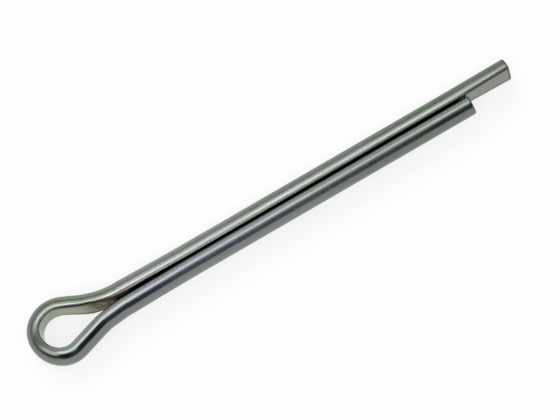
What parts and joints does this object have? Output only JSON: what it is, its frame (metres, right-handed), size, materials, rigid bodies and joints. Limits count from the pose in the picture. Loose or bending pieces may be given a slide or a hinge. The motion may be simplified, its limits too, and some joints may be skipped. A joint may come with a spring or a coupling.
{
  "type": "cotter pin",
  "caption": "Split cotter pin folded from half-round steel wire, with a teardrop eye and legs of unequal length, for locking a pin or nut through a cross hole.",
  "frame": {"origin": "on the shank's axis, where the straight legs leave the neck under the eye", "axes": "+X along the legs towards their cut ends, +Y towards the long leg, +Z along the eye's axis, which points up as the pin lies on its side"},
  "size_m": [0.0476, 0.006, 0.0028],
  "materials": {
    "zinc_plated_steel": "bright zinc plate over smooth drawn wire, faintly iridescent"
  },
  "bodies": {
    "root": {"split_pin": "zinc_plated_steel"}
  },
  "joints": []
}
